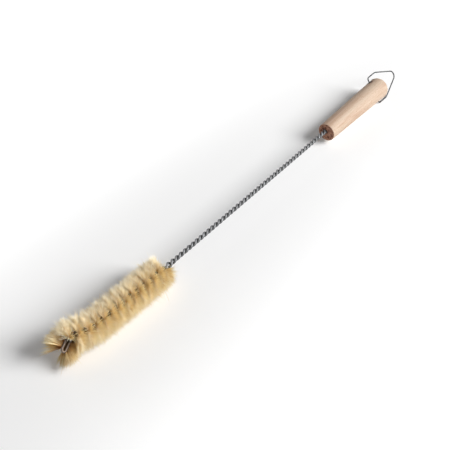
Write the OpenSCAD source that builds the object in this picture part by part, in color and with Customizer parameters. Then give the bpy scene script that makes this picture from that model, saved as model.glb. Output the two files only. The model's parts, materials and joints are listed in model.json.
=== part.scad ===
// Bottle brush: bristles gripped in a twisted wire, a turned handle and a wire hanging loop.
// The brush lies on a surface at z = 0, with its handle toward +X.

/* [Overall] */
// Length from the folded tip of the wire to the butt of the handle
brush_l = 464; // [380:1:560]

/* [Wire] */
// Diameter of the folded wire
wire_d = 2.2; // [1.6:0.1:3]
// Length of one turn of the bare stem
stem_pitch = 10.4; // [8:0.1:14]
// Length of one turn in the head, where bristles hold the strands apart
head_pitch = 15.4; // [12:0.1:20]
// Length of the untwisted fold at the tip
fold_l = 10; // [9.5:0.5:16]
// Gap between the strands of the bare stem
strand_gap = 0.1; // [0.06:0.02:0.3]
// Roll of the fold about the brush, from the horizontal
fold_roll = 45; // [0:5:180]

/* [Head] */
// Distance of the last bristles from the folded tip
head_end = 117; // [80:1:150]
// Distance of the first bristles from the folded tip
head_start = 9; // [5:0.5:9]
// Length of the bristles from the middle of the wire
bristle_l = 15; // [12:0.5:20]
// Extra length of the bristles at the tip
tip_extra = 1.4; // [0:0.1:3]
// Thickness of the layer of bristles between the strands
bristle_layer = 0.7; // [0.5:0.1:1.4]
// Gap between the bristle layer and each strand
bristle_clear = 0.3; // [0.15:0.05:0.4]
// Half angle that a blade of bristles fans out to at its edge
blade_fan = 62; // [40:1:75]
// How far the first bristles lean forward at their ends
front_splay = 12; // [2:0.5:14]
// How far the last bristles lean back at their ends
rear_splay = 0; // [0:0.5:8]
// Length of the head over which that lean dies out
splay_run = 20; // [12:1:30]

/* [Bend] */
// Bend of the head away from the line of the stem
head_bend = 2.5; // [0:0.1:5]
// Extra kink of the wire near the tip
crook = 4.6; // [0:0.1:6]
// Distance of the kink from the folded tip
crook_at = 12.5; // [11:0.5:20]
// Length behind the kink over which it fades
crook_reach = 21; // [14:0.5:30]
// Direction of the bend, from straight up toward +Y
bend_roll = 45; // [-90:5:90]

/* [Handle] */
// Length of the handle
handle_l = 108; // [85:1:130]
// Diameter at the front face
front_d = 19; // [15:0.2:24]
// Diameter just before the rounded butt
butt_d = 23.4; // [18:0.2:28]
// Rounding of the front edge
front_round = 0.8; // [0.3:0.1:2]
// Rounding of the butt
butt_round = 4.5; // [2:0.1:7]
// Length of the wire inside the handle
wire_grip = 38; // [25:1:60]
// Room beyond the end of the wire in its bore
bore_room = 3; // [1:0.5:8]
// Widening of the bore over the twisted wire
bore_clear = 0.3; // [0.2:0.1:0.6]
// Distance of the bore from the middle of the handle
bore_off = 1.6; // [0:0.1:2.5]
// Direction of that distance, from the horizontal
bore_roll = 32; // [-90:2:90]

/* [Hanging loop] */
// Diameter of the loop's wire
loop_d = 1.3; // [1:0.1:2]
// Widening of the cross hole over the loop's wire
hole_clear = 0.6; // [0.4:0.1:1.2]
// Widening of the mouths of the cross hole
mouth_flare = 1; // [0.6:0.1:1.4]
// Distance of the cross hole from the butt
hole_inset = 13; // [9:0.5:20]
// Distance of the loop's far end from the butt
loop_out = 31; // [22:1:45]
// Gap between the loop's lower side and the handle
loop_gap = 1.8; // [0.3:0.1:3]
// Gap between the loop's upper side and the handle
loop_bulge = 4.5; // [1:0.5:8]
// Depth of the loop's bent ends in the cross hole
loop_seat = 7; // [4:0.5:9]
// Bend of the wire at the handle
corner_bend = 2.6; // [1.5:0.1:4]
// How far the sides run straight past the butt
side_past = 0; // [0:0.5:5]
// Bend where the sides turn in toward the far end
side_bend = 12; // [6:1:16]
// Bend at the far end
apex_bend = 5; // [3:0.5:7]

/* [Rest] */
// Height of the wire above the surface at the middle of the head
head_rest = 13.6; // [11:0.1:16]
// Gap between the loop's lower side and the surface
loop_rest = 0.1; // [0.05:0.05:1]

/* [Hidden] */
$fn = 48;

wire_r = wire_d / 2;
loop_r = loop_d / 2;
handle_x = brush_l - handle_l;
wire_end = handle_x + wire_grip;

// Rings along the twist, and the sides of the wire
head_steps = 11;
stem_steps = 8;
fold_steps = 4;
wire_sides = 6;
// Circumradius of a polygon with the area of the round wire
wire_ring_r = wire_r * sqrt(2 * PI / (wire_sides * sin(360 / wire_sides)));

// Outline of the handle as [radius, distance from its front face]
front_r = front_d / 2;
front_c = [front_r - front_round, front_round];
butt_c = [butt_d / 2 - butt_round, handle_l - butt_round];
function polar(r, a) = [r * cos(a), r * sin(a)];
function quarter(c, r, from, steps) = [for (i = [0:steps]) c + polar(r, from + 90 * i / steps)];
handle_line = concat(quarter(front_c, front_round, -90, 3), quarter(butt_c, butt_round, 0, 8));
handle_slope = (butt_c.x + butt_round - front_r) / (butt_c.y - front_round);

// Middle of the handle beside the line of the wire
handle_c = -bore_off * [0, cos(bore_roll), sin(bore_roll)];

// Lean and height at which the butt and the head both touch the surface
lean = asin(
    (head_rest - butt_d / 2 + handle_c.z) / (handle_x + butt_c.y - (head_start + head_end) / 2)
);
axis_z = max([for (p = handle_line) (handle_x + p.y) * sin(lean) + (p.x - handle_c.z) * cos(lean)]);

// Bend of the head
function bump(t) = abs(t) < 1 ? (1 + cos(180 * t)) / 2 : 0;
function bend(x) =
    head_bend * pow(max(0, head_end - x) / head_end, 2)
    + crook * bump((x - crook_at) / (x < crook_at ? crook_at : crook_reach));
function core(x) = [x, bend(x) * sin(bend_roll), bend(x) * cos(bend_roll)];

// Left-handed twist of the strands: angle and distance from the core
function twist(x) =
    fold_roll - 360 * (max(0, min(x, head_end) - fold_l) / head_pitch + max(0, x - head_end) / stem_pitch);
function across(x) = [0, cos(twist(x)), sin(twist(x))];
function strand_r(x) =
    wire_r + strand_gap / 2
    + (bristle_layer + 2 * bristle_clear - strand_gap) / 2
    * max(0, min(1, 1 - (x - head_end) / stem_pitch));
fold_r = strand_r(0);
fold_x = fold_r + wire_r;

// Places of the rings along the brush
head_n = ceil((head_end - fold_l) / head_pitch * head_steps);
stem_n = ceil((wire_end - head_end) / stem_pitch * stem_steps);
row_places = concat(
    [head_start, (head_start + fold_l) / 2],
    [for (i = [0:head_n]) fold_l + (head_end - fold_l) * i / head_n]
);
stem_places = [for (i = [1:stem_n]) head_end + (wire_end - head_end) * i / stem_n];
fold_places = [for (i = [0:fold_steps - 1]) fold_x + (head_start - fold_x) * i / fold_steps];
wire_places = concat(fold_places, row_places, stem_places);

// From the brush's own line to the surface it lies on
function lay(p) = [
    p.x * cos(lean) + p.z * sin(lean),
    p.y,
    p.z * cos(lean) - p.x * sin(lean) + axis_z
];
function on_surface(p) = [p.x, p.y, max(0, p.z)];

// Swept rings
function unit(v) = v / norm(v);
function square_to(v, t) = unit(v - (v * t) * t);
nudge = 0.01;

// One ring of the wire on a strand: side is 1 or -1, and the wire runs back on side -1
function strand_point(x, side) = core(x) + side * strand_r(x) * across(x);
function strand_ring(x, side) =
    let (t = -side * unit(strand_point(x + nudge, side) - strand_point(x - nudge, side)))
    wire_ring(strand_point(x, side), t, square_to(side * across(x), t));
function fold_ring(a) =
    let (forward = unit(core(fold_x) - core(fold_x + nudge)))
    let (side = square_to(across(fold_x), forward))
    let (out = side * cos(a) + forward * sin(a))
    wire_ring(core(fold_x) + fold_r * out, forward * cos(a) - side * sin(a), out);
function wire_ring(c, t, n) =
    let (b = cross(t, n))
    [for (i = [0:wire_sides - 1])
        let (a = 360 * (i + 0.5) / wire_sides)
        lay(c + wire_ring_r * (cos(a) * n + sin(a) * b))];

function backward(list) = [for (i = [len(list) - 1:-1:0]) list[i]];
fold_arc = 6;
wire_rings = concat(
    [for (x = backward(wire_places)) strand_ring(x, 1)],
    [for (i = [1:fold_arc - 1]) fold_ring(180 * i / fold_arc)],
    [for (x = wire_places) strand_ring(x, -1)]
);

// One row of bristles: two blades that leave the wire between its strands
neck_x = 1.8 * wire_r;
blade_steps = [0.34, 0.66];
edge_steps = [-1, -0.5, 0, 0.5, 1];
function row_r(x) = bristle_l + tip_extra * pow(max(0, 1 - (x - head_start) / splay_run), 2);
function splay(x) =
    rear_splay * pow(max(0, 1 - (head_end - x) / splay_run), 2)
    - front_splay * pow(max(0, 1 - (x - head_start) / splay_run), 2);
function blade(r) = concat(
    [[neck_x, -bristle_layer / 2]],
    [for (f = blade_steps) polar(f * r, -f * blade_fan)],
    [for (e = edge_steps) polar(r, e * blade_fan)],
    [for (f = backward(blade_steps)) polar(f * r, f * blade_fan)],
    [[neck_x, bristle_layer / 2]]
);
function row(x) =
    let (a = twist(x) + 90, u = polar(1, a), v = polar(1, a + 90))
    let (half = concat(blade(row_r(x)), [[0, bristle_layer / 2]]))
    [for (p = concat(half, -half))
        let (q = p.x * u + p.y * v, out = max(0, norm(p) - neck_x) / (row_r(x) - neck_x))
        on_surface(lay(core(x) + [splay(x) * out, q.x, q.y]))];
rows = [for (x = row_places) row(x)];
blade_n = len(blade(bristle_l));
row_points = [for (r = rows, p = r) p];

// Path of the loop in its own plane: x from the cross hole, y up along the hole
pivot_x = brush_l - hole_inset;
pivot_r = front_r + handle_slope * (handle_l - hole_inset - front_round);
loop_top = pivot_r + loop_bulge + loop_r;
loop_low = butt_d / 2 + loop_gap + loop_r;
loop_mid = (loop_top - loop_low) / 2;
loop_half = (loop_top + loop_low) / 2;
side_l = hole_inset + side_past;
apex_x = hole_inset + loop_out - apex_bend;
turn_x = apex_x - side_l;
turn_y = loop_half - side_bend;
turn_in = atan2(turn_y, turn_x) + asin((side_bend - apex_bend) / norm([turn_x, turn_y]));
top_seat = pivot_r - loop_seat - loop_mid;
low_seat = pivot_r - loop_seat + loop_mid;

// Rings of the loop outside its round ends, each at a point of the path and square to its heading
loop_sides = 10;
loop_ring_r = 0.99 * loop_r;
function loop_ring(p, heading) =
    [for (i = [0:loop_sides - 1])
        let (q = polar(loop_ring_r, 360 * i / loop_sides))
        [p.x - q.x * sin(heading), p.y + q.x * cos(heading), q.y]];
function loop_arc(c, r, from, to, steps) =
    [for (i = [0:steps]) let (a = from + (to - from) * i / steps) loop_ring(c + polar(r, a), a - 90)];
top_half = concat(
    [loop_ring([0, loop_half - 2 * corner_bend], 90)],
    loop_arc([corner_bend, loop_half - corner_bend], corner_bend, 180, 90, 4),
    loop_arc([side_l, loop_half - side_bend], side_bend, 90, 90 - turn_in, 3)
);
low_half = [for (r = backward(top_half)) [for (p = r) [p.x, -p.y, p.z]]];
loop_rings = concat(
    top_half,
    loop_arc([apex_x, 0], apex_bend, 90 - turn_in, turn_in - 90, 10),
    low_half
);

// Roll of the cross hole from the horizontal, with the loop's lower side just off the surface
pivot_z = lay([pivot_x, 0, handle_c.z]).z;
hole_roll = asin((pivot_z - loop_r - loop_rest) / loop_low);

// Centre of the whole part on the surface
apex_c = lay(handle_c + [pivot_x + apex_x, loop_mid * cos(hole_roll), loop_mid * sin(hole_roll)]);
part_x1 = apex_c.x + apex_bend * norm([cos(lean), sin(lean) * sin(hole_roll)]) + loop_r;
part_x0 = min([for (p = row_points) p.x]);
part_y0 = min([for (p = row_points) p.y]);
part_y1 = max([for (p = row_points) p.y]);
centre = [(part_x0 + part_x1) / 2, (part_y0 + part_y1) / 2, 0];

// A skin over rings of equal size, with its diagonals laid along the twist or against it
function skin(m, n, along = true) = [
    for (i = [0:m - 2], j = [0:n - 1])
        let (a = i * n + j, b = i * n + (j + 1) % n)
        each along
            ? [[a, a + n, b + n], [a, b + n, b]]
            : [[a, a + n, b], [b, a + n, b + n]]
];
function turned(faces) = [for (f = faces) backward(f)];
function shifted(faces, d) = [for (f = faces) [for (k = f) k + d]];

// End of a row, as a ladder of triangles up each blade
function blade_end(n) = [
    for (k = [0:(n - 3) / 2])
        each k < (n - 3) / 2
            ? [[k, k + 1, n - 2 - k], [k, n - 2 - k, n - 1 - k]]
            : [[k, k + 1, k + 2]]
];
function row_end(n) =
    let (low = 2 * n + 1)
    concat(
        blade_end(n),
        shifted(blade_end(n), n + 1),
        [[low, 0, n - 1], [low, n - 1, n], [low, n, n + 1], [low, n + 1, 2 * n]]
    );

module laid() {
    translate([-centre.x, -centre.y, axis_z])
        rotate([0, lean, 0])
            children();
}

module along_hole(offset = 0) {
    translate(handle_c + [pivot_x, 0, 0])
        rotate([hole_roll - 90, 0, 0])
            translate([0, 0, offset])
                children();
}

module handle() {
    color("BurlyWood")
        laid()
            difference() {
                translate(handle_c + [handle_x, 0, 0])
                    rotate([0, 90, 0])
                        rotate_extrude()
                            polygon(concat([[0, 0]], handle_line, [[0, handle_l]]));
                wire_bore();
                cross_hole();
            }
}

// Blind bore with a drill point
module wire_bore() {
    bore_r = wire_d + (strand_gap + bore_clear) / 2;
    bore_l = wire_grip + bore_room;
    overlap = 1;
    translate([handle_x - overlap, 0, 0])
        rotate([0, 90, 0])
            cylinder(r = bore_r, h = bore_l + overlap);
    translate([handle_x + bore_l, 0, 0])
        rotate([0, 90, 0])
            cylinder(r1 = bore_r, r2 = 0, h = bore_r / 2);
}

// Hole across the handle, worn wider at its mouths
module cross_hole() {
    hole_r = (loop_d + hole_clear) / 2;
    mouth_l = 2.4;
    along_hole(-butt_d)
        cylinder(r = hole_r, h = 2 * butt_d);
    for (s = [-1, 1])
        along_hole(s * (pivot_r - mouth_l / 2))
            rotate([90 - 90 * s, 0, 0])
                cylinder(r1 = hole_r, r2 = hole_r + mouth_flare, h = mouth_l);
}

// The wire runs from the handle to the tip, folds, and comes back
module twisted_wire() {
    m = len(wire_rings);
    n = wire_sides;
    first_end = [[for (j = [0:n - 1]) j]];
    color("SlateGray")
        translate([-centre.x, -centre.y, 0])
            polyhedron(
                points = [for (r = wire_rings, p = r) p],
                faces = concat(first_end, skin(m, n), turned(shifted(first_end, (m - 1) * n)))
            );
}

module bristles() {
    m = len(rows);
    n = len(rows[0]);
    color("Wheat")
        translate([-centre.x, -centre.y, 0])
            polyhedron(
                points = row_points,
                faces = concat(
                    row_end(blade_n),
                    skin(m, n, along = false),
                    turned(shifted(row_end(blade_n), (m - 1) * n))
                )
            );
}

// Round bent end of the loop, from its seat in the cross hole to its corner
module loop_pin(seat_y) {
    translate([0, seat_y, 0])
        rotate([-90, 0, 0])
            cylinder(r = loop_r, h = loop_half - corner_bend - seat_y);
}

module hanging_loop() {
    n = loop_sides;
    m = len(loop_rings);
    first_end = [[for (j = [0:n - 1]) j]];
    color("DimGray")
        laid()
            translate(handle_c + [pivot_x, 0, 0])
                rotate([hole_roll, 0, 0])
                    translate([0, loop_mid, 0]) {
                        loop_pin(top_seat);
                        mirror([0, 1, 0])
                            loop_pin(low_seat);
                        polyhedron(
                            points = [for (r = loop_rings, p = r) p],
                            faces = concat(
                                first_end,
                                skin(m, n),
                                turned(shifted(first_end, (m - 1) * n))
                            )
                        );
                    }
}

handle();
twisted_wire();
bristles();
hanging_loop();
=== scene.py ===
import json
import math

import bpy
import numpy as np
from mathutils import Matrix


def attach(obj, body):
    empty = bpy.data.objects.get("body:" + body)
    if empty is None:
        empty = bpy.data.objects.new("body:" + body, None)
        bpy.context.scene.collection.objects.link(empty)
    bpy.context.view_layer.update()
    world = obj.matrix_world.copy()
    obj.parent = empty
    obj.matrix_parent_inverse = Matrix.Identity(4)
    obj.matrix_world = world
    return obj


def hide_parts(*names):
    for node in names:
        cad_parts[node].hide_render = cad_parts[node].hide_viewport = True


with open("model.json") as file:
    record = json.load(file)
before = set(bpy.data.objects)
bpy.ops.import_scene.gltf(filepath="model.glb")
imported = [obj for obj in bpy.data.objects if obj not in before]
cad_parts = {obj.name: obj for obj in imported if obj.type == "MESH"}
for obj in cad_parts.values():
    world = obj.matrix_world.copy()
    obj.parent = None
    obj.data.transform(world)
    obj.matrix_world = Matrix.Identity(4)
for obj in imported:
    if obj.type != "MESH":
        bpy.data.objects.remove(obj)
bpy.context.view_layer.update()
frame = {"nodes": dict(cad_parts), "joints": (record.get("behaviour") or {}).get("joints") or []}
print("frame loaded with", ", ".join(sorted(frame["nodes"])))

# The wire's line runs along x from the folded tip, and the loop's hinge in the handle places it
brush = {
    "length": 0.464,
    "headStart": 0.009,     # first bristles from the folded tip
    "headEnd": 0.117,       # last bristles
    "holeInset": 0.013,     # cross hole from the butt
    "headBend": 0.0025,     # slow bend of the head
    "crook": 0.0046,        # kink near the tip
    "crookAt": 0.0125,
    "crookReach": 0.021,    # behind the kink
    "bendRoll": math.radians(45),
    "boreOff": 0.0016,      # wire's line from the middle of the handle
    "boreRoll": math.radians(32),
}
hinge = frame["joints"][0]
pivot = np.array(hinge["pos_m"])
holeAxis = np.array(hinge["axis"]) / np.linalg.norm(hinge["axis"])
pivotX = brush["length"] - brush["holeInset"]
slope = math.atan2(holeAxis[0], holeAxis[2])    # of the wire's line to the floor
alongAxis = np.array([math.cos(slope), 0.0, -math.sin(slope)])
sideAxis = np.array([0.0, 1.0, 0.0])
upAxis = np.array([math.sin(slope), 0.0, math.cos(slope)])
wireTail = pivot + brush["boreOff"] * (
    math.cos(brush["boreRoll"]) * sideAxis + math.sin(brush["boreRoll"]) * upAxis)


def laid(local):  # from the wire's own line to the frame
    return (wireTail + (local[..., :1] - pivotX) * alongAxis
            + local[..., 1:2] * sideAxis + local[..., 2:3] * upAxis)


def fadeOut(distance, reach):  # 1 at no distance, falling to 0 at the reach
    return np.maximum(0.0, 1.0 - distance / reach) ** 2


def bendAt(x):
    slow = brush["headBend"] * fadeOut(x, brush["headEnd"])
    fade = np.where(x < brush["crookAt"], brush["crookAt"], brush["crookReach"])
    t = np.clip((x - brush["crookAt"]) / fade, -1.0, 1.0)
    return slow + brush["crook"] * (1.0 + np.cos(math.pi * t)) / 2


def coreAt(x):
    off = bendAt(x)
    return np.stack([x, off * math.sin(brush["bendRoll"]), off * math.cos(brush["bendRoll"])], axis=-1)


# Mesh helpers

def addObject(name, data):
    made = bpy.data.objects.new(name, data)
    bpy.context.scene.collection.objects.link(made)
    return made


def addPiece(name, points, faces):
    mesh = bpy.data.meshes.new(name)
    mesh.from_pydata(np.asarray(points).tolist(), [], [list(map(int, face)) for face in faces])
    mesh.validate()
    return addObject(name, mesh)


def smoothPiece(piece, sharpDeg):
    piece.data.shade_smooth()
    piece.data.set_sharp_from_angle(angle=math.radians(sharpDeg))


def unitRows(rows):
    return rows / np.linalg.norm(rows, axis=-1, keepdims=True)


def ringFaces(rings, sides, capEnds=True):
    faces = []
    for i in range(rings - 1):
        for j in range(sides):
            a, b = i * sides + j, i * sides + (j + 1) % sides
            faces.append((a, b, b + sides, a + sides))
    if capEnds:
        faces.append(tuple(reversed(range(sides))))
        faces.append(tuple(range((rings - 1) * sides, rings * sides)))
    return faces


def sweptTube(name, path, radius, sides):  # round wire along a path, with frames carried along it
    heading = unitRows(np.gradient(path, axis=0))
    normal = np.cross(heading[0], upAxis)
    points = []
    angles = 2 * math.pi * np.arange(sides) / sides
    for place, ahead in zip(path, heading):
        normal = normal - np.dot(normal, ahead) * ahead
        normal = normal / np.linalg.norm(normal)
        across = np.cross(ahead, normal)
        ring = np.cos(angles)[:, None] * normal + np.sin(angles)[:, None] * across
        points.append(place + radius * ring)
    piece = addPiece(name, np.concatenate(points), ringFaces(len(path), sides))
    smoothPiece(piece, sharpDeg=60)
    return piece


def lathe(name, profile, origin, axis, segments):  # profile of (place along, radius), closed on the axis
    axis = axis / np.linalg.norm(axis)
    first = np.cross(axis, sideAxis)
    first = first / np.linalg.norm(first)
    second = np.cross(axis, first)
    angles = 2 * math.pi * np.arange(segments) / segments
    circle = np.cos(angles)[:, None] * first + np.sin(angles)[:, None] * second
    inner = profile[1:-1]
    points = np.concatenate([origin + t * axis + r * circle for t, r in inner])
    ends = np.array([origin + profile[0][0] * axis, origin + profile[-1][0] * axis])
    faces = ringFaces(len(inner), segments, capEnds=False)
    firstEnd, lastEnd = len(points), len(points) + 1
    lastRing = (len(inner) - 1) * segments
    for j in range(segments):
        k = (j + 1) % segments
        faces.append((firstEnd, k, j))
        faces.append((lastEnd, lastRing + j, lastRing + k))
    return addPiece(name, np.concatenate([points, ends]), faces)


def arcPoints(centre, radius, fromDeg, toDeg, steps):
    angles = np.radians(np.linspace(fromDeg, toDeg, steps))
    return np.stack([centre[0] + radius * np.cos(angles), centre[1] + radius * np.sin(angles)], axis=-1)


# Material helpers

def newMaterial(name):
    material = bpy.data.materials.new(name)
    material.use_nodes = True
    return material, material.node_tree, material.node_tree.nodes["Principled BSDF"]


def addNode(tree, kind, inputs=None, **settings):
    made = tree.nodes.new(kind)
    for key, value in settings.items():
        setattr(made, key, value)
    for key, value in (inputs or {}).items():
        made.inputs[key].default_value = value
    return made


def addRamp(tree, source, stops):  # stops of (position, linear colour)
    ramp = addNode(tree, "ShaderNodeValToRGB")
    elements = ramp.color_ramp.elements
    while len(elements) < len(stops):
        elements.new(0.5)
    for element, (position, colour) in zip(elements, stops):
        element.position = position
        element.color = (*colour, 1.0)
    tree.links.new(source, ramp.inputs["Fac"])
    return ramp.outputs["Color"]


def addMix(tree, blend, factor, first, second):  # factor and colours are values or sockets
    mix = addNode(tree, "ShaderNodeMix", data_type="RGBA", blend_type=blend)
    if isinstance(factor, float):
        mix.inputs[0].default_value = factor
    else:
        tree.links.new(factor, mix.inputs[0])
    for socket, value in ((mix.inputs[6], first), (mix.inputs[7], second)):     # colour sockets A and B
        if isinstance(value, tuple):
            socket.default_value = (*value, 1.0)
        else:
            tree.links.new(value, socket)
    return mix.outputs[2]


def stretchedCoords(tree, scale):  # object coordinates, stretched to follow a grain
    coords = addNode(tree, "ShaderNodeTexCoord")
    mapping = addNode(tree, "ShaderNodeMapping", {"Scale": scale})
    tree.links.new(coords.outputs["Object"], mapping.inputs["Vector"])
    return mapping.outputs["Vector"]


def addNoise(tree, vector, scale, detail, roughness, distortion=0.0):
    noise = addNode(tree, "ShaderNodeTexNoise",
                    {"Scale": scale, "Detail": detail, "Roughness": roughness, "Distortion": distortion})
    tree.links.new(vector, noise.inputs["Vector"])
    return noise.outputs["Fac"]


def addRoughness(tree, shader, source, lowest, highest):
    level = addNode(tree, "ShaderNodeMapRange", {"To Min": lowest, "To Max": highest})
    tree.links.new(source, level.inputs["Value"])
    tree.links.new(level.outputs["Result"], shader.inputs["Roughness"])


def addBump(tree, shader, height, strength, distance):
    bump = addNode(tree, "ShaderNodeBump", {"Strength": strength, "Distance": distance})
    tree.links.new(height, bump.inputs["Height"])
    tree.links.new(bump.outputs["Normal"], shader.inputs["Normal"])


# Twisted wire: one wire folded at the tip, its two strands wound left-handed
wire = {
    "radius": 0.0011,
    "stemPitch": 0.0104,
    "headPitch": 0.0154,
    "foldLength": 0.010,    # untwisted part at the tip
    "foldRoll": math.radians(45),
    "strandGap": 0.0001,
    "bristleGap": 0.0013,   # between the strands in the head
    "end": 0.394,           # inside the handle
    "step": 0.00042,        # between rings
    "nudge": 0.00001,       # along the line, to find its direction at the fold
    "foldSteps": 16,
    "sides": 12,
    "darkZinc": (0.12, 0.122, 0.125),
    "paleZinc": (0.23, 0.234, 0.24),
    "patchScale": 420.0,
    "tipFilmAndShade": 0.6,        # brown film on the wire at the tip, fading along the head: partly dirt, partly painted shade of the bristles
    "filmAndShadeColour": (0.20, 0.13, 0.08),
}


def twistAt(x):
    inHead = np.maximum(0.0, np.minimum(x, brush["headEnd"]) - wire["foldLength"]) / wire["headPitch"]
    inStem = np.maximum(0.0, x - brush["headEnd"]) / wire["stemPitch"]
    return wire["foldRoll"] - 2 * math.pi * (inHead + inStem)


def acrossAt(x):
    turn = twistAt(x)
    return np.stack([np.zeros_like(x), np.cos(turn), np.sin(turn)], axis=-1)


def strandReach(x):  # from the core to the middle of a strand
    closing = np.clip(1.0 - (x - brush["headEnd"]) / wire["stemPitch"], 0.0, 1.0)
    return wire["radius"] + (wire["strandGap"] + (wire["bristleGap"] - wire["strandGap"]) * closing) / 2


def buildWire():
    foldReach = float(strandReach(np.array(0.0)))
    foldX = foldReach + wire["radius"]
    places = np.linspace(foldX, wire["end"], int((wire["end"] - foldX) / wire["step"]))
    strand = strandReach(places)[:, None] * acrossAt(places)
    angles = np.linspace(0.0, math.pi, wire["foldSteps"] + 1)[1:-1]
    foldCore = coreAt(np.array([foldX, foldX + wire["nudge"]]))
    forward = unitRows(foldCore[0] - foldCore[1])
    side = acrossAt(np.array([foldX]))[0]
    fold = foldCore[0] + foldReach * (np.cos(angles)[:, None] * side + np.sin(angles)[:, None] * forward)
    path = np.concatenate([(coreAt(places) + strand)[::-1], fold, coreAt(places) - strand])
    foldCores = np.repeat(foldCore[:1], len(fold), axis=0)
    cores = np.concatenate([coreAt(places)[::-1], foldCores, coreAt(places)])
    tube = sweptTube("twisted_wire_folded", laid(path), wire["radius"], wire["sides"])
    spots = np.array([vertex.co for vertex in tube.data.vertices]).reshape(len(path), wire["sides"], 3)
    inward = unitRows(laid(cores) - laid(path))
    groove = np.einsum("ijk,ik->ij", spots - laid(path)[:, None], inward) / wire["radius"]
    fromTip = np.concatenate([places[::-1], np.zeros(len(fold)), places])
    # brown film, partly dirt and partly painted shade of the bristles over the wire
    filmAndShade = wire["tipFilmAndShade"] * fadeOut(fromTip, brush["headEnd"])
    grooveShade = np.clip(0.5 + 0.5 * groove, 0.0, 1.0)    # 1 between the strands, 0 outside: painted shade in the groove
    for label, values in (("groove", grooveShade.ravel()), ("filmAndShade", np.repeat(filmAndShade, wire["sides"]))):
        layer = tube.data.attributes.new(label, "FLOAT", "POINT")
        layer.data.foreach_set("value", values.astype(np.float32))
    return tube


def wireMaterial(name, dark, pale, patchScale, filmAndShadeColour=None):  # dull metal with patches and scratches
    material, tree, shader = newMaterial(name)
    patches = addNoise(tree, stretchedCoords(tree, (1.0, 1.0, 1.0)), patchScale, 4.0, 0.6)
    colour = addRamp(tree, patches, [(0.32, dark), (0.68, pale)])
    if filmAndShadeColour:     # painted shade between the twisted strands, and the brown film at the tip, partly dirt and partly painted shade of the bristles
        groove = addNode(tree, "ShaderNodeAttribute", attribute_name="groove")
        grooveShade = addRamp(tree, groove.outputs["Fac"], [(0.3, (1.0, 1.0, 1.0)), (0.72, (0.26, 0.25, 0.24))])
        colour = addMix(tree, "MULTIPLY", 1.0, colour, grooveShade)
        filmAndShade = addNode(tree, "ShaderNodeAttribute", attribute_name="filmAndShade")
        colour = addMix(tree, "MIX", filmAndShade.outputs["Fac"], colour, filmAndShadeColour)
    tree.links.new(colour, shader.inputs["Base Color"])
    scratches = addNoise(tree, stretchedCoords(tree, (1.0, 1.0, 1.0)), patchScale * 6, 3.0, 0.7)
    addRoughness(tree, shader, scratches, 0.42, 0.64)
    shader.inputs["Metallic"].default_value = 0.9
    addBump(tree, shader, scratches, 0.25, 0.00012)
    return material


wirePiece = buildWire()
wirePiece.data.materials.append(wireMaterial(
    "galvanisedZinc", wire["darkZinc"], wire["paleZinc"], wire["patchScale"], wire["filmAndShadeColour"]))
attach(wirePiece, "brush")
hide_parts("twisted_wire")
print("wire:", len(wirePiece.data.polygons), "faces")

# Bristles: fibres gripped between the strands, in clumps, along two helical blades
bristles = {
    "seed": 11,
    "clumps": 900,              # to a piece
    "perClump": 7,
    "length": 0.015,
    "tipExtra": 0.0014,         # longer fibres at the tip
    "bladeStart": (0.0108, 0.0102),
    "bladeEnd": (0.111, 0.1099),
    "frontSplay": 0.003,        # forward lean of the first fibres
    "frontLoose": 0.7,          # extra spread of lean at the front
    "looseRun": 0.032,
    "splayRun": 0.020,
    "tipFan": math.radians(42),     # wider fan of the first fibres
    "tipFanRun": 0.014,
    "grip": 0.13,               # share of a fibre between the strands
    "spread": 0.0005,           # of a clump along the wire
    "clumpWidth": 1.7,          # furthest that a clump strays, in times each spread below
    "clump": {"fan": 0.15, "lean": 0.19, "side": 0.0012, "along": 0.0012, "length": 0.06, "tone": 9.0},
    "fibre": {"fan": 0.033, "lean": 0.035, "side": 0.0005, "along": 0.0005, "length": 0.065, "tone": 3.5},
    "strays": 0.08,             # share of the fibres that stand out of their clump
    "strayTimes": 3.0,
    "fanPower": 1.35,           # how late a fibre bends aside
    "splayPower": 1.2,          # how late it leans forward
    "floorGap": (0.00015, 0.0006),  # of the fibres that lie on the floor
    "stations": (0.0, 0.15, 0.45, 0.75, 1.0),
    "radii": (0.00015, 0.00015, 0.00014, 0.00011),  # at all stations but the pointed last
    "offAxis": 0.13,            # tilt of the axis that fibres take their sides from
    "mapMargin": 0.01,          # at the root and tip in the colour map
    "tones": 32,                # shades of fibre
    "colourStops": (0.22, 0.36, 0.55),  # along a fibre: last brown, first golden, first pale; the brown is partly painted shade between the rows
    "rootBrown": (0.25, 0.13, 0.045),
}
eyeTufts = {    # first fibres, behind the fold
    "fromX": 0.0045,
    "toX": 0.0095,
    "clumps": 440,
    "darker": 3.0,              # tones below the rest: painted shade of the hollow at the tip
    # brown further along these fibres and redder: partly their colour, partly painted shade of the hollow
    # at the tip
    "colourStops": (0.31, 0.56, 0.78),
    "rootBrown": (0.46, 0.19, 0.05),
    "sheaves": (    # share, first and last roll about the wire, forward lean
        (0.43, math.radians(15), math.radians(62), math.radians(23)),
        (0.09, math.radians(-25), math.radians(15), math.radians(37)),
        (0.28, math.radians(-150), math.radians(-95), math.radians(28)),
        (0.20, math.radians(-162), math.radians(-135), math.radians(8))),
}


def rowLength(x):
    extra = bristles["tipExtra"] * fadeOut(x - brush["headStart"], bristles["splayRun"])
    return bristles["length"] + extra


def splayAt(x):
    return -bristles["frontSplay"] * fadeOut(x - brush["headStart"], bristles["splayRun"])


def clumpJitter(draw, clumps):  # each spread shared by a clump, with a little of each fibre's own
    count, width = clumps * bristles["perClump"], bristles["clumpWidth"]
    stray = np.where(draw.random(count) < bristles["strays"], bristles["strayTimes"], 1.0)
    jitter = {}
    for label, spread in bristles["clump"].items():
        shared = np.repeat(draw.uniform(-width, width, clumps) * spread, bristles["perClump"])
        jitter[label] = shared + stray * draw.normal(0.0, bristles["fibre"][label], count)
    return jitter


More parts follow.
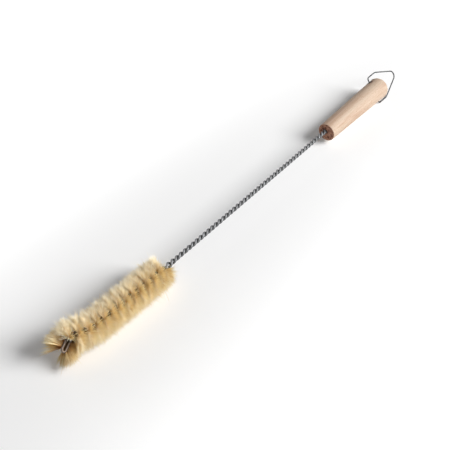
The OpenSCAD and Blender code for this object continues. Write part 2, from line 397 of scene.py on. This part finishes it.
def clumpPlaces(draw, clumps, fromX, toX):
    middle = fromX + (toX - fromX) * (np.arange(clumps) + draw.random(clumps)) / clumps
    x = np.repeat(middle, bristles["perClump"])
    return np.clip(x + draw.normal(0.0, bristles["spread"], len(x)), fromX, toX)


def fibreLines(draw, x, leave, roll, slant, splay, jitter):  # middle lines of fibres, in the frame
    count = len(x)
    reach = rowLength(x) * (1.0 + jitter["length"])
    nothing = np.zeros(count)
    outward = np.stack([nothing, np.cos(leave), np.sin(leave)], axis=-1)
    sidewise = np.stack([nothing, -np.sin(roll), np.cos(roll)], axis=-1)
    heading = np.stack([np.sin(slant) + nothing, np.cos(slant) * np.cos(roll),
                        np.cos(slant) * np.sin(roll)], axis=-1)
    lines = np.empty((count, len(bristles["stations"]), 3))
    for i, f in enumerate(bristles["stations"]):
        gripped, free = min(f, bristles["grip"]), max(0.0, f - bristles["grip"])
        bent = free ** bristles["fanPower"]
        aside = reach * jitter["fan"] * bent + jitter["side"] * f * f
        ahead = (reach * jitter["lean"] * bent + jitter["along"] * f * f
                 + splay * f ** bristles["splayPower"])
        lines[:, i] = (coreAt(x) + (gripped * reach)[:, None] * outward
                       + (free * reach)[:, None] * heading + aside[:, None] * sidewise)
        lines[:, i, 0] += ahead
    lines = laid(lines)
    floor = draw.uniform(*bristles["floorGap"], count)[:, None]
    lines[..., 2] = np.maximum(lines[..., 2], floor)
    return lines


def bladeLines(draw, fromX, toX, blade):
    x = clumpPlaces(draw, bristles["clumps"], fromX, toX)
    jitter = clumpJitter(draw, bristles["clumps"])
    wide = np.repeat(draw.normal(0.0, bristles["tipFan"], bristles["clumps"]), bristles["perClump"])
    leave = twistAt(x) + math.pi / 2 + math.pi * blade
    roll = leave + wide * fadeOut(x - brush["headStart"], bristles["tipFanRun"])
    jitter["lean"] *= 1.0 + bristles["frontLoose"] * fadeOut(x - brush["headStart"], bristles["looseRun"])
    return fibreLines(draw, x, leave, roll, 0.0, splayAt(x), jitter), jitter["tone"]


def eyeLines(draw):
    clumps, perClump = eyeTufts["clumps"], bristles["perClump"]
    x = clumpPlaces(draw, clumps, eyeTufts["fromX"], eyeTufts["toX"])
    jitter = clumpJitter(draw, clumps)
    shares = [sheaf[0] for sheaf in eyeTufts["sheaves"]]
    pick = draw.choice(len(shares), clumps, p=shares)
    first, last, lean = np.array([sheaf[1:] for sheaf in eyeTufts["sheaves"]])[pick].T
    roll = np.repeat(first + (last - first) * draw.random(clumps), perClump)
    leave = twistAt(x) - math.pi / 2
    lines = fibreLines(draw, x, leave, roll, -np.repeat(lean, perClump), 0.0, jitter)
    return lines, jitter["tone"] - eyeTufts["darker"]


def fibreTemplate():  # faces of one three-sided fibre, with the map place of each corner
    stations = len(bristles["radii"])
    tip = 3 * stations
    v = bristles["stations"]
    corners, places = [], []
    for i in range(stations - 1):
        for j in range(3):
            a, b = 3 * i + j, 3 * i + (j + 1) % 3
            left, right = j / 3, (j + 1) / 3
            corners += [(a, b, b + 3), (a, b + 3, a + 3)]
            places += [((left, v[i]), (right, v[i]), (right, v[i + 1])),
                       ((left, v[i]), (right, v[i + 1]), (left, v[i + 1]))]
    last = 3 * (stations - 1)
    for j in range(3):
        corners.append((last + j, last + (j + 1) % 3, tip))
        places.append(((j / 3, v[-2]), ((j + 1) / 3, v[-2]), ((j + 0.5) / 3, v[-1])))
    corners.append((2, 1, 0))
    places.append(((0.9, 0.0), (0.5, 0.02), (0.1, 0.0)))
    return np.array(corners), np.array(places)


def fibrePiece(name, lines, tone):
    count, stations = len(lines), len(bristles["radii"])
    heading = unitRows(np.gradient(lines, axis=1))
    normal = unitRows(np.cross(heading, alongAxis + bristles["offAxis"] * sideAxis))
    across = np.cross(heading, normal)
    points = np.empty((count, 3 * stations + 1, 3))
    for i, radius in enumerate(bristles["radii"]):
        for j in range(3):
            angle = 2 * math.pi * j / 3
            points[:, 3 * i + j] = (lines[:, i] + radius * math.cos(angle) * normal[:, i]
                                    + radius * math.sin(angle) * across[:, i])
    points[:, -1] = lines[:, -1]
    corners, places = fibreTemplate()
    perFibre = points.shape[1]
    faces = (corners[None] + perFibre * np.arange(count)[:, None, None]).reshape(-1, 3)
    mesh = bpy.data.meshes.new(name)
    mesh.vertices.add(count * perFibre)
    mesh.vertices.foreach_set("co", points.astype(np.float32).ravel())
    mesh.loops.add(faces.size)
    mesh.loops.foreach_set("vertex_index", faces.astype(np.int32).ravel())
    mesh.polygons.add(len(faces))
    mesh.polygons.foreach_set("loop_start", np.arange(0, faces.size, 3, dtype=np.int32))
    mesh.update(calc_edges=True)
    mesh.shade_flat()
    along = np.repeat(np.array(bristles["stations"]), [3] * stations + [1])
    for label, values in (("along", np.tile(along, count)), ("tone", np.repeat(tone, perFibre))):
        layer = mesh.attributes.new(label, "FLOAT", "POINT")
        layer.data.foreach_set("value", values.astype(np.float32))
    column, margin = np.floor(tone * bristles["tones"])[:, None, None], bristles["mapMargin"]
    spots = np.empty((count, *places.shape))
    spots[..., 0] = (column + places[None, ..., 0]) / bristles["tones"]
    spots[..., 1] = margin + (1.0 - 2 * margin) * places[None, ..., 1]
    mesh.uv_layers.new(name="OFBake").uv.foreach_set("vector", spots.astype(np.float32).ravel())
    return addObject(name, mesh)


def strawMaterial(name, rootBrown, colourStops):  # brown at the wire, partly the fibres' colour and partly painted shade between the rows, then straw, pale at the tip
    material, tree, shader = newMaterial(name)
    brownTo, goldenFrom, paleFrom = colourStops
    along = addNode(tree, "ShaderNodeAttribute", attribute_name="along")
    tone = addNode(tree, "ShaderNodeAttribute", attribute_name="tone")
    body = addRamp(tree, along.outputs["Fac"], [
        (0.0, (0.17, 0.085, 0.027)), (brownTo, rootBrown), (goldenFrom, (0.94, 0.73, 0.38)),
        (paleFrom, (1.0, 0.89, 0.58)), (1.0, (1.0, 0.95, 0.80))])
    shade = addRamp(tree, tone.outputs["Fac"], [
        (0.0, (0.76, 0.66, 0.54)), (0.3, (0.97, 0.95, 0.91)),
        (0.7, (1.0, 1.0, 1.0)), (1.0, (1.0, 1.03, 1.10))])
    tree.links.new(addMix(tree, "MULTIPLY", 1.0, body, shade), shader.inputs["Base Color"])
    addRoughness(tree, shader, along.outputs["Fac"], 0.45, 0.70)
    shader.inputs["Specular IOR Level"].default_value = 0.1
    return material


draw = np.random.default_rng(bristles["seed"])
straw = strawMaterial("strawBristle", bristles["rootBrown"], bristles["colourStops"])
eyeStraw = strawMaterial("brownBristlePaintedShade", eyeTufts["rootBrown"], eyeTufts["colourStops"])
headMiddle = (brush["headStart"] + brush["headEnd"]) / 2
tufts = [("bristles_eye", eyeStraw, *eyeLines(draw))]
for blade, letter in enumerate("ab"):
    tufts.append(("bristles_tip_" + letter, straw,
                  *bladeLines(draw, bristles["bladeStart"][blade], headMiddle, blade)))
    tufts.append(("bristles_rear_" + letter, straw,
                  *bladeLines(draw, headMiddle, bristles["bladeEnd"][blade], blade)))
for name, material, lines, shade in tufts:
    column = np.clip(np.round(bristles["tones"] / 2 + shade), 0, bristles["tones"] - 1)
    fibres = fibrePiece(name, lines, (column + 0.5) / bristles["tones"])
    fibres.data.materials.append(material)
    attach(fibres, "brush")
    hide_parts("bristles")
    print("bristles:", name, len(lines), "fibres")

# Handle: turned beech with a blind bore for the wire and a cross hole for the loop
handle = {
    "length": 0.108,
    "frontRadius": 0.0095,
    "buttRadius": 0.0117,
    "frontRound": 0.0008,
    "buttRound": 0.0045,
    "boreRadius": 0.0024,
    "boreLength": 0.041,
    "boreEdge": 0.0003,
    "holeRadius": 0.00095,
    "mouthFlare": 0.001,
    "mouthLength": 0.0024,
    "holeShadeReach": 0.0050,   # painted shade in the cross hole and round its mouths
    "endGrainDepth": 0.0003,    # of the front that shows end grain
    "faceRing": 0.0004,     # last flat ring of the front, from its rounding
    "faceSteps": 8,
    "frontSteps": 7,
    "taperSteps": 48,
    "buttSteps": 16,
    "backSteps": 6,
    "segments": 128,
    "holeSegments": 40,
    "boreSegments": 48,
    "cutterPast": 0.001,    # bore cutter in front of the handle
}
handleFront = pivot + (brush["length"] - handle["length"] - pivotX) * alongAxis
holeReach = handle["frontRadius"] + (handle["buttRadius"] - handle["frontRadius"]) * (
    (handle["length"] - brush["holeInset"] - handle["frontRound"])
    / (handle["length"] - handle["buttRound"] - handle["frontRound"]))


def handleProfile():
    h = handle
    flat = h["frontRadius"] - h["frontRound"]
    face = [(0.0, r) for r in np.linspace(0.0, flat - h["faceRing"], h["faceSteps"])]
    front = arcPoints((h["frontRound"], flat), h["frontRound"], 180, 90, h["frontSteps"])
    butt = arcPoints((h["length"] - h["buttRound"], h["buttRadius"] - h["buttRound"]),
                     h["buttRound"], 90, 0, h["buttSteps"])
    taper = list(zip(np.linspace(front[-1][0], butt[0][0], h["taperSteps"])[1:-1],
                     np.linspace(front[-1][1], butt[0][1], h["taperSteps"])[1:-1]))
    back = [(h["length"], r) for r in np.linspace(butt[-1][1], 0.0, h["backSteps"])[1:]]
    return face + [tuple(p) for p in front] + taper + [tuple(p) for p in butt] + back


def holeCutter():  # cross hole with a flared mouth at each end
    h = handle
    reach, half = holeReach, h["mouthLength"] / 2
    wide = h["holeRadius"] + h["mouthFlare"]
    end = reach + 3 * half  # clear of the handle
    outer = [(end, 0.0), (end, wide), (reach + half, wide), (reach - half, h["holeRadius"])]
    profile = [(-t, r) for t, r in outer] + [(t, r) for t, r in reversed(outer)]
    return lathe("cross_hole_cutter", profile, pivot, holeAxis, h["holeSegments"])


def boreCutter():  # blind bore with a drill point, on the wire's line
    h = handle
    radius, edge, past = h["boreRadius"], h["boreEdge"], h["cutterPast"]
    profile = [(-past, 0.0), (-past, radius + edge + past), (edge, radius),
               (h["boreLength"], radius), (h["boreLength"] + radius / 2, 0.0)]
    return lathe("bore_cutter", profile, handleFront + wireTail - pivot, alongAxis, h["boreSegments"])


def buildHandle():
    turned = lathe("handle_turned", handleProfile(), handleFront, alongAxis, handle["segments"])
    cutters = [holeCutter(), boreCutter()]
    for cutter in cutters:
        cut = turned.modifiers.new(cutter.name, "BOOLEAN")
        cut.operation = "DIFFERENCE"
        cut.solver = "EXACT"
        cut.object = cutter
    evaluated = turned.evaluated_get(bpy.context.evaluated_depsgraph_get())
    drilled = bpy.data.meshes.new_from_object(evaluated)
    turned.modifiers.clear()
    turned.data = drilled
    for cutter in cutters:
        bpy.data.objects.remove(cutter)
    smoothPiece(turned, sharpDeg=35)
    return turned


def holeShade(tree):  # painted shade in the cross hole and round its mouths
    coords = addNode(tree, "ShaderNodeTexCoord")
    offset = addNode(tree, "ShaderNodeVectorMath", {1: tuple(pivot)}, operation="SUBTRACT")
    across = addNode(tree, "ShaderNodeVectorMath", {1: tuple(holeAxis)}, operation="CROSS_PRODUCT")
    distance = addNode(tree, "ShaderNodeVectorMath", operation="LENGTH")
    tree.links.new(coords.outputs["Object"], offset.inputs[0])
    tree.links.new(offset.outputs["Vector"], across.inputs[0])
    tree.links.new(across.outputs["Vector"], distance.inputs[0])
    share = addNode(tree, "ShaderNodeMapRange", {"From Max": handle["holeShadeReach"]})
    tree.links.new(distance.outputs["Value"], share.inputs["Value"])
    return addRamp(tree, share.outputs["Result"], [
        (0.5, (0.08, 0.06, 0.05)), (0.72, (0.45, 0.34, 0.27)), (1.0, (1.0, 1.0, 1.0))])


def beechMaterial():  # pale pink-brown, streaked along the grain, with short dark ray flecks
    material, tree, shader = newMaterial("turnedBeech")
    broad = addNoise(tree, stretchedCoords(tree, (14.0, 150.0, 150.0)), 1.0, 3.0, 0.5, 0.4)
    colour = addRamp(tree, broad, [
        (0.28, (0.45, 0.295, 0.205)), (0.5, (0.54, 0.405, 0.305)), (0.74, (0.60, 0.50, 0.39))])
    streaks = addNoise(tree, stretchedCoords(tree, (45.0, 1400.0, 1400.0)), 1.0, 2.0, 0.6)
    streakTint = addRamp(tree, streaks, [(0.35, (0.86, 0.80, 0.74)), (0.6, (1.0, 1.0, 1.0))])
    colour = addMix(tree, "MULTIPLY", 0.7, colour, streakTint)
    flecks = addNoise(tree, stretchedCoords(tree, (420.0, 2600.0, 2600.0)), 1.0, 1.0, 0.4)
    fleckTint = addRamp(tree, flecks, [(0.27, (0.60, 0.42, 0.30)), (0.36, (1.0, 1.0, 1.0))])
    colour = addMix(tree, "MULTIPLY", 0.8, colour, fleckTint)
    # painted shade of the cross hole
    colour = addMix(tree, "MULTIPLY", 1.0, colour, holeShade(tree))
    tree.links.new(colour, shader.inputs["Base Color"])
    addRoughness(tree, shader, streaks, 0.48, 0.70)
    shader.inputs["Specular IOR Level"].default_value = 0.35
    addBump(tree, shader, streaks, 0.2, 0.0002)
    return material


def endGrainMaterial():  # growth rings, open pores and dark checks, darker than the sides
    material, tree, shader = newMaterial("beechEndGrain")
    rings = addNoise(tree, stretchedCoords(tree, (60.0, 260.0, 620.0)), 1.0, 2.0, 0.5)
    colour = addRamp(tree, rings, [(0.3, (0.38, 0.18, 0.115)), (0.7, (0.58, 0.31, 0.21))])
    pores = addNode(tree, "ShaderNodeTexVoronoi", {"Scale": 1500.0})
    tree.links.new(stretchedCoords(tree, (0.2, 1.0, 1.0)), pores.inputs["Vector"])
    poreTint = addRamp(tree, pores.outputs["Distance"], [
        (0.12, (0.35, 0.28, 0.25)), (0.34, (1.0, 1.0, 1.0))])
    colour = addMix(tree, "MULTIPLY", 0.8, colour, poreTint)
    checks = addNoise(tree, stretchedCoords(tree, (60.0, 420.0, 420.0)), 1.0, 2.0, 0.6)
    checkTint = addRamp(tree, checks, [(0.40, (0.20, 0.14, 0.13)), (0.53, (1.0, 1.0, 1.0))])
    tree.links.new(addMix(tree, "MULTIPLY", 0.8, colour, checkTint), shader.inputs["Base Color"])
    shader.inputs["Roughness"].default_value = 0.8
    shader.inputs["Specular IOR Level"].default_value = 0.2
    addBump(tree, shader, pores.outputs["Distance"], 0.4, 0.0002)
    return material


handlePiece = buildHandle()
handlePiece.data.materials.clear()
handlePiece.data.materials.append(beechMaterial())
handlePiece.data.materials.append(endGrainMaterial())
for face in handlePiece.data.polygons:
    onFront = np.dot(np.array(face.center) - handleFront, alongAxis) < handle["endGrainDepth"]
    face.material_index = 1 if onFront else 0
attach(handlePiece, "brush")
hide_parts("handle")
print("handle:", len(handlePiece.data.polygons), "faces")

# Hanging loop: thin wire bail, bent by hand, with its ends in the cross hole
loop = {
    "radius": 0.00065,
    "bulge": 0.0045,        # gap above the handle
    "gap": 0.0018,          # gap below it
    "seat": 0.007,          # depth of the ends in the hole
    "cornerBend": 0.0026,
    "sideBend": 0.012,
    "apexBend": 0.005,
    "out": 0.031,           # far end from the butt
    "bendSteps": 12,
    "apexSteps": 24,
    "sides": 12,
    "darkSteel": (0.02, 0.02, 0.021),
    "paleSteel": (0.085, 0.086, 0.088),
    "patchScale": 600.0,
}


def loopPath():
    top = holeReach + loop["bulge"] + loop["radius"]
    low = handle["buttRadius"] + loop["gap"] + loop["radius"]
    mid, half = (top - low) / 2, (top + low) / 2
    sideEnd = brush["holeInset"]
    apexX = brush["holeInset"] + loop["out"] - loop["apexBend"]
    turnX, turnY = apexX - sideEnd, half - loop["sideBend"]
    turnIn = math.degrees(math.atan2(turnY, turnX)
                          + math.asin((loop["sideBend"] - loop["apexBend"]) / math.hypot(turnX, turnY)))
    seat = holeReach - loop["seat"]
    corner = arcPoints((loop["cornerBend"], half - loop["cornerBend"]), loop["cornerBend"],
                       180, 90, loop["bendSteps"])
    turn = arcPoints((sideEnd, half - loop["sideBend"]), loop["sideBend"],
                     90, 90 - turnIn, loop["bendSteps"])
    upper = np.concatenate([corner, turn])
    apex = arcPoints((apexX, 0.0), loop["apexBend"], 90 - turnIn, turnIn - 90, loop["apexSteps"])
    lower = upper[::-1] * np.array([1.0, -1.0])
    flat = np.concatenate([[[0.0, seat - mid]], upper, apex, lower, [[0.0, -seat - mid]]])
    flat[:, 1] += mid
    return pivot + flat[:, :1] * alongAxis + flat[:, 1:] * holeAxis


loopPiece = sweptTube("hanging_loop_bail", loopPath(), loop["radius"], loop["sides"])
loopPiece.data.materials.append(wireMaterial(
    "dullSteelWire", loop["darkSteel"], loop["paleSteel"], loop["patchScale"]))
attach(loopPiece, "loop")
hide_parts("hanging_loop")
print("loop:", len(loopPiece.data.polygons), "faces")

# Stage: pale floor, a soft key from the right, a low fill from behind and an even sky
stage = {
    "floorHalf": 4.0,
    "floorColour": 0.88,
    "liftNear": 0.10,       # camera sees the floor as pale by the brush
    "liftFar": 1.0,         # and as white far from it
    "liftFrom": 0.03,
    "liftTo": 0.35,
    "floorStretch": (0.2, 1.0, 1.0),
    "skyLight": 0.12,
    "lampDistance": 2.6,
    "bounces": 16,
    "diffuseBounces": 12,   # light through the bristles
}
lamps = {
    "softKey": {"power": 99.0, "size": 1.4, "toward": (0.48, -0.74, 0.60)},
    "lowFill": {"power": 12.0, "size": 2.0, "toward": (-0.25, 0.95, 0.22)},
}


def seenRays(tree):  # 1 for camera, glossy and transmission rays
    path = addNode(tree, "ShaderNodeLightPath")
    first = addNode(tree, "ShaderNodeMath", operation="MAXIMUM")
    second = addNode(tree, "ShaderNodeMath", operation="MAXIMUM")
    tree.links.new(path.outputs["Is Camera Ray"], first.inputs[0])
    tree.links.new(path.outputs["Is Glossy Ray"], first.inputs[1])
    tree.links.new(first.outputs[0], second.inputs[0])
    tree.links.new(path.outputs["Is Transmission Ray"], second.inputs[1])
    return second.outputs[0]


def buildFloor():
    half = stage["floorHalf"]
    corners = [(-half, -half, 0.0), (half, -half, 0.0), (half, half, 0.0), (-half, half, 0.0)]
    floor = addPiece("floor", corners, [(0, 1, 2, 3)])
    material, tree, shader = newMaterial("paleFloor")
    shader.inputs["Base Color"].default_value = (stage["floorColour"],) * 3 + (1.0,)
    shader.inputs["Roughness"].default_value = 0.9
    shader.inputs["Specular IOR Level"].default_value = 0.0
    shader.inputs["Emission Color"].default_value = (1.0, 1.0, 1.0, 1.0)
    distance = addNode(tree, "ShaderNodeVectorMath", operation="LENGTH")
    tree.links.new(stretchedCoords(tree, stage["floorStretch"]), distance.inputs[0])
    rise = addNode(tree, "ShaderNodeMapRange", {
        "From Min": stage["liftFrom"], "From Max": stage["liftTo"],
        "To Min": stage["liftNear"], "To Max": stage["liftFar"]}, interpolation_type="SMOOTHSTEP")
    tree.links.new(distance.outputs["Value"], rise.inputs["Value"])
    lift = addNode(tree, "ShaderNodeMath", operation="MULTIPLY")
    tree.links.new(seenRays(tree), lift.inputs[0])
    tree.links.new(rise.outputs["Result"], lift.inputs[1])
    tree.links.new(lift.outputs[0], shader.inputs["Emission Strength"])
    floor.data.materials.append(material)


def buildSky():
    world = bpy.data.worlds.new("studioSky")
    world.use_nodes = True
    tree = world.node_tree
    level = addNode(tree, "ShaderNodeMapRange", {"To Min": stage["skyLight"], "To Max": 1.0})
    tree.links.new(seenRays(tree), level.inputs["Value"])
    background = tree.nodes["Background"]
    background.inputs["Color"].default_value = (1.0, 1.0, 1.0, 1.0)
    tree.links.new(level.outputs["Result"], background.inputs["Strength"])
    bpy.context.scene.world = world


def buildLamp(name, settings):
    light = bpy.data.lights.new(name, "AREA")
    light.energy = settings["power"]
    light.size = settings["size"]
    lamp = addObject(name, light)
    toward = unitRows(np.array(settings["toward"]))
    lamp.location = toward * stage["lampDistance"]
    elevation = math.asin(toward[2])
    lamp.rotation_euler = (math.pi / 2 - elevation, 0.0, math.atan2(toward[1], toward[0]) + math.pi / 2)


# Camera at the photograph's angle
camera = {
    "place": (-0.4024, -0.2892, 0.4599),
    "azimuth": math.radians(-50.61),
    "elevation": math.radians(45.36),
    "lens": 56.0,
    "sensor": 36.0,
    "nearest": 0.01,        # start of the view
}


def buildCamera():
    lens = bpy.data.cameras.new("camera")
    lens.lens = camera["lens"]
    lens.sensor_width = camera["sensor"]
    lens.clip_start = camera["nearest"]
    eye = addObject("camera", lens)
    eye.location = camera["place"]
    eye.rotation_euler = (math.pi / 2 - camera["elevation"], 0.0, camera["azimuth"])
    bpy.context.scene.camera = eye


buildFloor()
buildSky()
for name, settings in lamps.items():
    buildLamp(name, settings)
buildCamera()
bpy.context.scene.view_settings.view_transform = "Standard"
bpy.context.scene.cycles.max_bounces = stage["bounces"]
bpy.context.scene.cycles.diffuse_bounces = stage["diffuseBounces"]
print("stage, light and camera placed")
